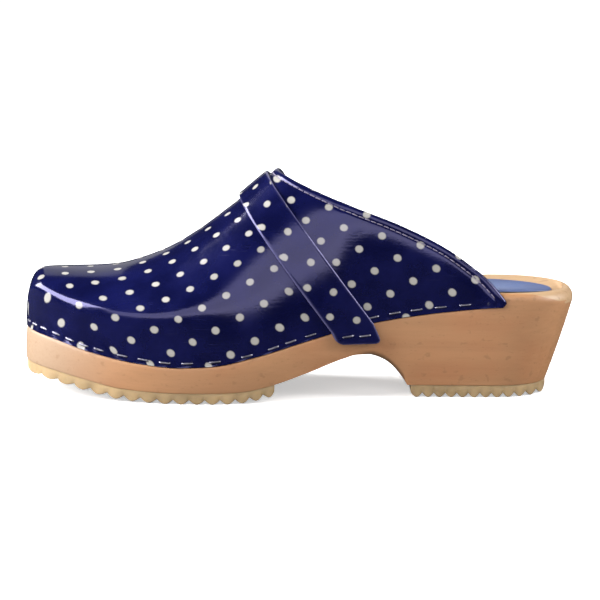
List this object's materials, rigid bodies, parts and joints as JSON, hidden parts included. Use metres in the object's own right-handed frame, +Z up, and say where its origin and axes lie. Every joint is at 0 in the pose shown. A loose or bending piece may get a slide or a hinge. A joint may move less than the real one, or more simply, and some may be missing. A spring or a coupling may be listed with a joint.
{
  "type": "open-back clog",
  "caption": "Left open-back clog: a wooden sole with heel and toe spring on ribbed rubber treads, a stapled dotted leather upper, an instep strap and a heel pad.",
  "frame": {"origin": "centre of the bounding box, on the floor under the sole", "axes": "+Z up, +X from the toe to the heel, -Y to the outer side of the left foot"},
  "size_m": [0.2566, 0.0956, 0.1034],
  "materials": {
    "wood": "satin",
    "upper_leather": "gloss",
    "strap_leather": "gloss",
    "pad_leather": "matte",
    "rubber": "satin",
    "staple_steel": "satin",
    "stitch_thread": "matte",
    "lining_leather": "matte"
  },
  "bodies": {
    "root": {"wooden_sole": "wood", "upper": "upper_leather", "instep_strap": "strap_leather", "heel_pad": "pad_leather", "forefoot_tread": "rubber", "heel_tread": "rubber"}
  },
  "joints": []
}
